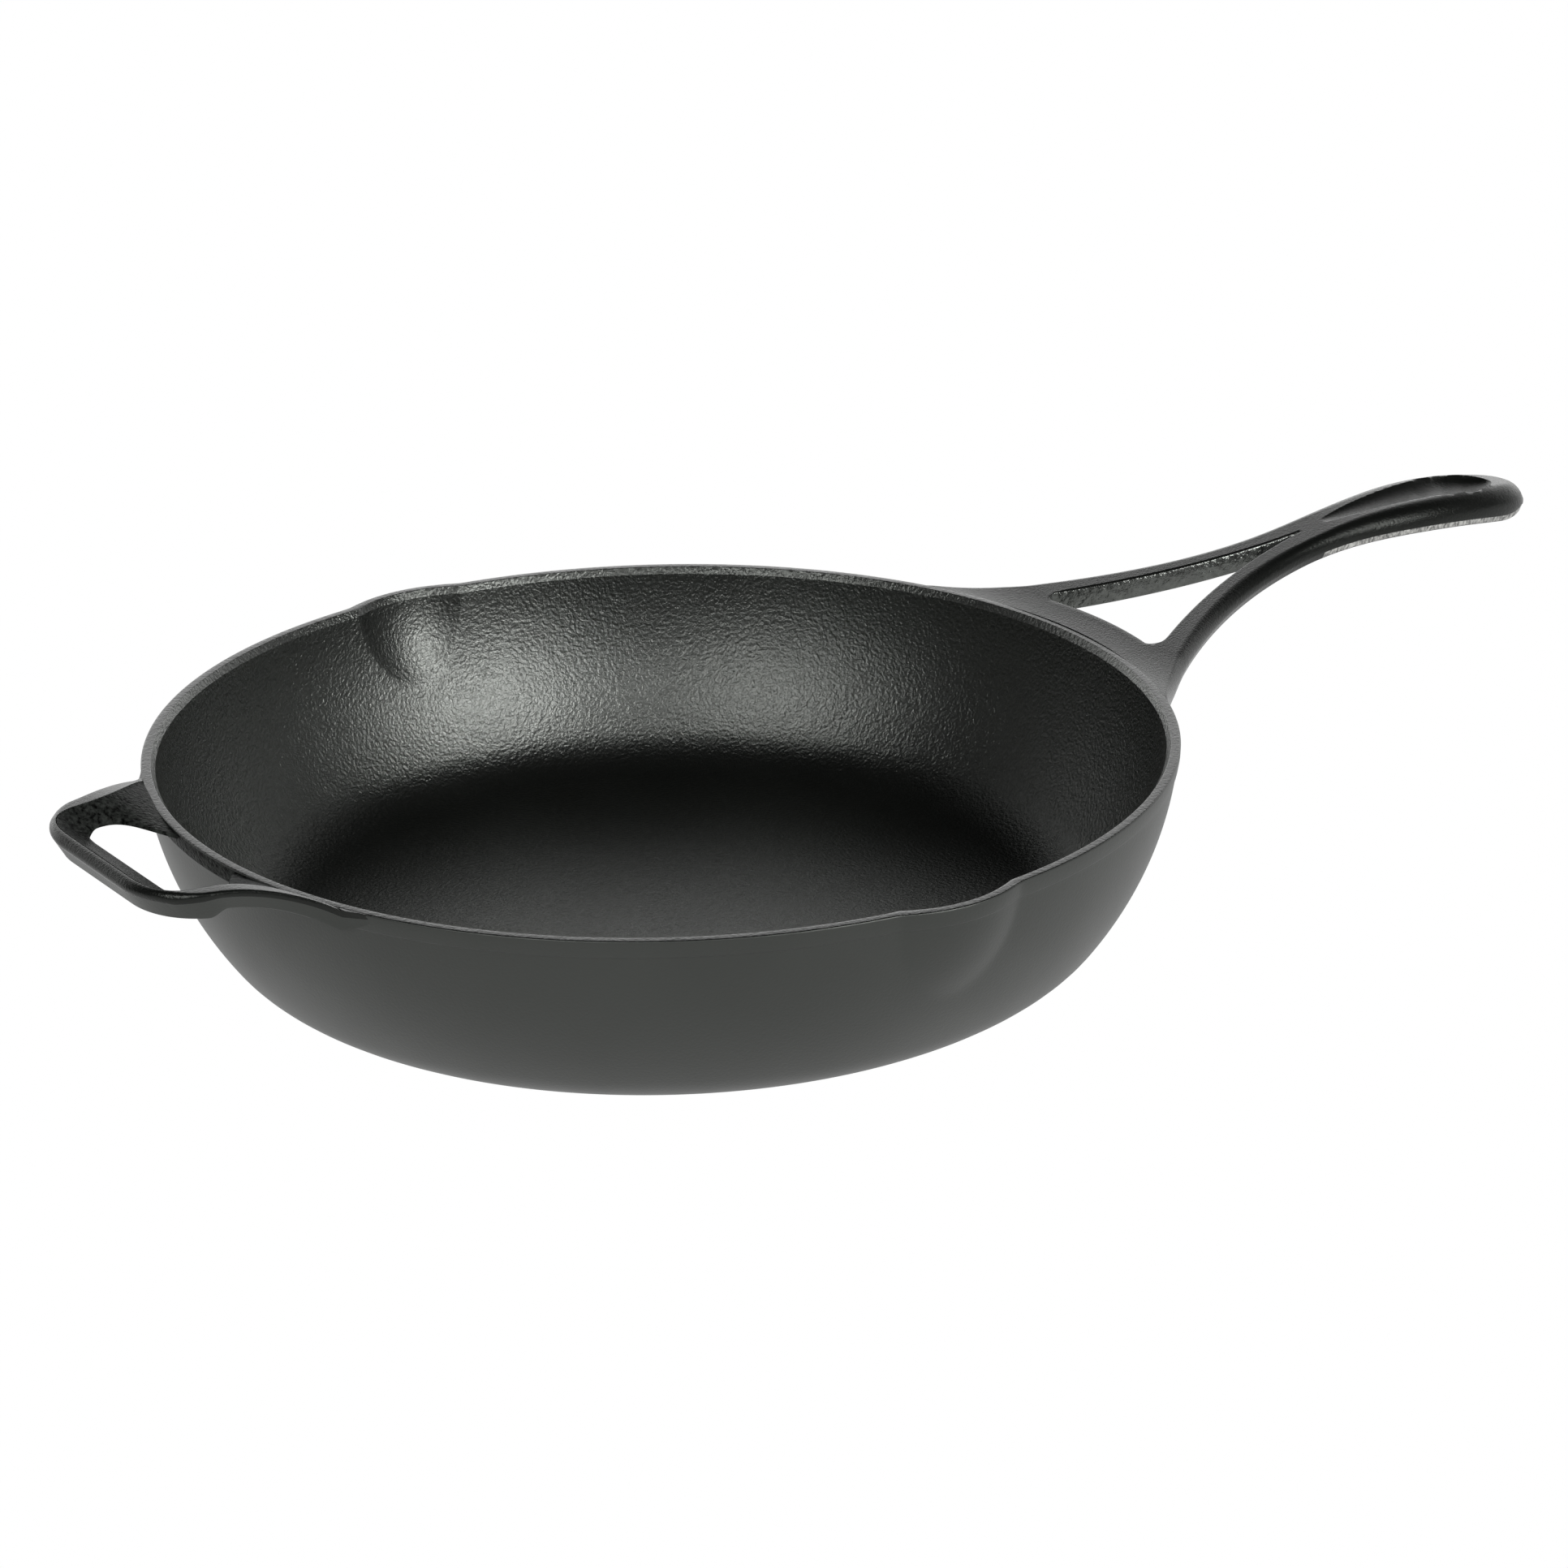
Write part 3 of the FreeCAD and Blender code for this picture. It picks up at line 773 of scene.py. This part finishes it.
def iron(name, dark, light, rough, pebble, pebble_size, shine, grain, mottle=14):
    """Seasoned cast iron: a pebbled skin with a finer grain on top."""
    m = Nodes(name)
    blotch = m.noise(mottle, 4)
    m.link(m.mix(m.span(blotch, 0.35, 0.65, 0, 1), dark, light), m.bsdf.inputs["Base Color"])
    lumps = m.noise(pebble_size, 2.0, 0.5)
    fine = m.noise(pebble_size * 3.2, 2.0, 0.5)
    first = m.bump(lumps, pebble)
    second = m.bump(fine, grain, 1.0, first)
    m.link(second, m.bsdf.inputs["Normal"])
    patch = m.noise(40, 3)
    m.link(m.span(patch, 0.3, 0.7, rough - 0.015, rough + 0.015), m.bsdf.inputs["Roughness"])
    m.bsdf.inputs["Metallic"].default_value = 0.0
    m.bsdf.inputs["Specular IOR Level"].default_value = shine
    m.bsdf.inputs["Specular Tint"].default_value = (0.96, 1.0, 0.94, 1)
    return m.mat


inside = iron("seasoned_inside", dark=(0.0012, 0.0014, 0.0012), light=(0.002, 0.0022, 0.002),
              rough=0.31, pebble=0.0003, pebble_size=900, shine=1.0, grain=0.0001)
rim_mat = iron("seasoned_rim", dark=(0.0015, 0.0017, 0.0015), light=(0.003, 0.0033, 0.003),
               rough=0.24, pebble=0.00012, pebble_size=900, shine=0.25, grain=0.00004)
outside = iron("seasoned_outside", dark=(0.0085, 0.0093, 0.0085), light=(0.0115, 0.0125, 0.0115),
               rough=0.46, pebble=0.00006, pebble_size=1100, shine=0.55, grain=0.00002)
handle_mat = iron("seasoned_handle", dark=(0.0025, 0.0028, 0.0025), light=(0.004, 0.0044, 0.004),
                  rough=0.27, pebble=0.0001, pebble_size=1300, shine=0.24, grain=0.00004)
# A rough, dull casting skin. Its fine light speckles in the base colour are painted glints, and on the
# pan's collar under the loop its darkness is also painted shade.
rough_glint_mat = iron("rough_casting_painted_glints", dark=(0.001, 0.0011, 0.001), light=(0.022, 0.024, 0.022),
                 rough=0.3, pebble=0.0006, pebble_size=800, shine=0.01, grain=0.0001, mottle=700)
spark_mat = iron("fork_casting", dark=(0.003, 0.0033, 0.003), light=(0.03, 0.032, 0.03),
                 rough=0.25, pebble=0.0005, pebble_size=650, shine=1.0, grain=0.0001, mottle=500)


def ground_edge_painted_reflection():
    """The lower edge of the handle, ground after casting, with fine upright marks; it is lighter partly
    as a painted reflection of the white table.
    """
    m = Nodes("ground_edge_painted_reflection")
    stretch = m.new("ShaderNodeMapping")
    stretch.inputs["Scale"].default_value = (1.0, 1.0, 0.12)
    m.link(m.coord, stretch.inputs["Vector"])
    marks = m.noise(1300, 2.0, 0.6, stretch.outputs[0])
    # Dark to light along the grinding marks: real marks, with their light colour partly a painted
    # reflection of the white table.
    m.link(m.mix(m.span(marks, 0.35, 0.65, 0, 1), (0.03, 0.03, 0.028), (0.36, 0.36, 0.34)),
           m.bsdf.inputs["Base Color"])
    m.link(m.bump(marks, 0.0002), m.bsdf.inputs["Normal"])
    m.bsdf.inputs["Roughness"].default_value = 0.42
    m.bsdf.inputs["Specular IOR Level"].default_value = 0.8
    return m.mat


ground_reflection_mat = ground_edge_painted_reflection()

# ---------------------------------------------------------------- pieces
PAN_INSIDE, PAN_OUTSIDE, PAN_ROUGH_SHADE, PAN_RIM = 0, 1, 2, 3
LOOP_HALF = 46.0           # the rough band under the loop, dark partly as painted shade from the handle, reaches this far either side
BAND_Z = 55.8              # and starts at this height
RIM_Z = 61.2
GRIP_IRON, GRIP_FORK, GRIP_GROUND_SHEEN = 0, 1, 2
GROUND_SHEEN_X = 243.0           # the ground edge, with its painted reflection of the table, starts here


def pan_finish(f, is_wall):
    """Which finish a face of the pan has."""
    c = f.center / MM
    out = f.normal.x * c.x + f.normal.y * c.y > 0 if is_wall else f.normal.z < 0
    if is_wall and c.z > RIM_Z and f.normal.z > 0.8:
        return PAN_RIM
    # Outer faces of the collar under the loop take the dull rough casting: a real rough, unground skin,
    # darkened here as painted shade from the handle above.
    if out and c.x < 0 and abs(c.y) < LOOP_HALF and c.z > BAND_Z and f.normal.z < 0.3:
        return PAN_ROUGH_SHADE
    return PAN_OUTSIDE if out else PAN_INSIDE


def grip_finish(f):
    """Which finish a face of the long handle has."""
    c = f.center / MM
    if c.x > GROUND_SHEEN_X and 0.15 < c.z - float(under_line(c.x)) < 2.05 and abs(f.normal.z) < 0.9:
        return GRIP_GROUND_SHEEN
    if c.x < 241 and abs(f.normal.z) < 0.5 and math.hypot(c.x, c.y) > 155:
        facing_in = f.normal.y * c.y < 0
        web_edge = c.x < 166 and abs(c.y) < 30 and f.normal.x > 0
        return GRIP_FORK if facing_in or web_edge else GRIP_IRON
    return GRIP_IRON


floor_piece = make_pan_floor()
side_piece = make_pan_wall()
for ob, node in ((floor_piece, "pan_floor"), (side_piece, "pan_wall")):
    for material in (inside, outside, rough_glint_mat, rim_mat):
        ob.data.materials.append(material)
    for f in ob.data.polygons:
        f.material_index = pan_finish(f, ob is side_piece)
    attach(ob, "root")
    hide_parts(node)
grip_piece = make_long_handle()
for material in (handle_mat, spark_mat, ground_reflection_mat):
    grip_piece.data.materials.append(material)
for f in grip_piece.data.polygons:
    f.material_index = grip_finish(f)
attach(grip_piece, "root")
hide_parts("long_handle")
assist_piece = make_assist_handle()
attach(assist_piece, "root")
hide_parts("assist_handle")

# ---------------------------------------------------------------- stage
def stage_floor():
    """A white table that glows evenly, so that it shows no shadow or edge."""
    me = bpy.data.meshes.new("table")
    s = 6.0
    me.from_pydata([(-s, -s, 0), (s, -s, 0), (s, s, 0), (-s, s, 0)], [], [(0, 1, 2, 3)])
    ob = bpy.data.objects.new("table", me)
    bpy.context.scene.collection.objects.link(ob)
    m = Nodes("table_white")
    m.bsdf.inputs["Base Color"].default_value = (0.0, 0.0, 0.0, 1)
    m.bsdf.inputs["Specular IOR Level"].default_value = 0.0
    m.bsdf.inputs["Emission Color"].default_value = (1, 1, 1, 1)
    m.bsdf.inputs["Emission Strength"].default_value = 1.0
    ob.data.materials.append(m.mat)


stage_floor()


def area_light(name, at, aim, size, power):
    data = bpy.data.lights.new(name, "AREA")
    data.shape = "SQUARE"
    data.size = size
    data.energy = power
    ob = bpy.data.objects.new(name, data)
    ob.location = at
    ob.rotation_mode = "QUATERNION"
    ob.rotation_quaternion = (Vector(aim) - Vector(at)).to_track_quat("-Z", "Y")
    bpy.context.scene.collection.objects.link(ob)
    return ob


def from_angle(azimuth, elevation, distance):
    a, e = math.radians(azimuth), math.radians(elevation)
    return (distance * math.cos(a) * math.cos(e), distance * math.sin(a) * math.cos(e),
            distance * math.sin(e))


BACKDROP_AZIMUTH = 58      # degrees round from the long handle
FADE_HEIGHTS = (0.2, 0.75) # sine of the elevations between which the backdrop fades out
LOBE = (0.1, 0.95)         # cosine range over which it fades to either side
SIDE_LEVEL = 0.045         # what is left of it at the sides
SOFT_SIZE, SOFT_AWAY = 0.7, 1.8
AIM = (0, 0, 0.03)


def world(strength, ceiling):
    """White to the camera; to the iron, a bright backdrop low behind it and a dark ceiling."""
    w = bpy.data.worlds.new("studio")
    w.use_nodes = True
    bpy.context.scene.world = w
    t = w.node_tree
    t.nodes.clear()
    out = t.nodes.new("ShaderNodeOutputWorld")
    seen, lit = t.nodes.new("ShaderNodeBackground"), t.nodes.new("ShaderNodeBackground")
    seen.inputs["Color"].default_value = (1, 1, 1, 1)
    seen.inputs["Strength"].default_value = 1.0
    lit.inputs["Color"].default_value = (1, 1, 1, 1)
    coord, split = t.nodes.new("ShaderNodeTexCoord"), t.nodes.new("ShaderNodeSeparateXYZ")
    t.links.new(coord.outputs["Generated"], split.inputs[0])
    fade = t.nodes.new("ShaderNodeMapRange")
    fade.interpolation_type = "SMOOTHSTEP"
    for k, v in enumerate((*FADE_HEIGHTS, strength, ceiling)):
        fade.inputs[k + 1].default_value = v
    t.links.new(split.outputs["Z"], fade.inputs[0])
    toward = t.nodes.new("ShaderNodeVectorMath")
    toward.operation = "DOT_PRODUCT"
    toward.inputs[1].default_value = from_angle(BACKDROP_AZIMUTH, 0, 1)
    t.links.new(coord.outputs["Generated"], toward.inputs[0])
    side = t.nodes.new("ShaderNodeMapRange")
    side.interpolation_type = "SMOOTHSTEP"
    for k, v in enumerate((*LOBE, SIDE_LEVEL, 1.0)):
        side.inputs[k + 1].default_value = v
    t.links.new(toward.outputs["Value"], side.inputs[0])
    both = t.nodes.new("ShaderNodeMath")
    both.operation = "MULTIPLY"
    t.links.new(fade.outputs[0], both.inputs[0])
    t.links.new(side.outputs[0], both.inputs[1])
    t.links.new(both.outputs[0], lit.inputs["Strength"])
    path, mix = t.nodes.new("ShaderNodeLightPath"), t.nodes.new("ShaderNodeMixShader")
    t.links.new(path.outputs["Is Camera Ray"], mix.inputs[0])
    t.links.new(lit.outputs[0], mix.inputs[1])
    t.links.new(seen.outputs[0], mix.inputs[2])
    t.links.new(mix.outputs[0], out.inputs["Surface"])


world(strength=2.2, ceiling=0.01)
area_light("right_soft", from_angle(-74, 32, SOFT_AWAY), AIM, SOFT_SIZE, power=33)
area_light("left_soft", from_angle(-153, 38, SOFT_AWAY), AIM, SOFT_SIZE, power=17)


def camera():
    az, el, roll = (math.radians(v) for v in (-33.574, 21.758, -0.866))
    distance, lens = 1526.25, 119.03
    shift_right, shift_down = 35.835, 14.904
    look = Vector((-math.sin(az) * math.cos(el), math.cos(az) * math.cos(el), -math.sin(el)))
    right = Vector((math.cos(az), math.sin(az), 0))
    upward = right.cross(look)
    target = Vector((0, 0, HEIGHT)) + right * shift_right - upward * shift_down
    right2 = right * math.cos(roll) + upward * math.sin(roll)
    up2 = upward * math.cos(roll) - right * math.sin(roll)
    data = bpy.data.cameras.new("camera")
    data.lens, data.sensor_width = lens, 36
    ob = bpy.data.objects.new("camera", data)
    turn = Matrix((right2, up2, -look)).transposed()
    ob.matrix_world = Matrix.Translation((target - look * distance) * MM) @ turn.to_4x4()
    bpy.context.scene.collection.objects.link(ob)
    bpy.context.scene.camera = ob


camera()
scene = bpy.context.scene
scene.view_settings.view_transform = "Standard"
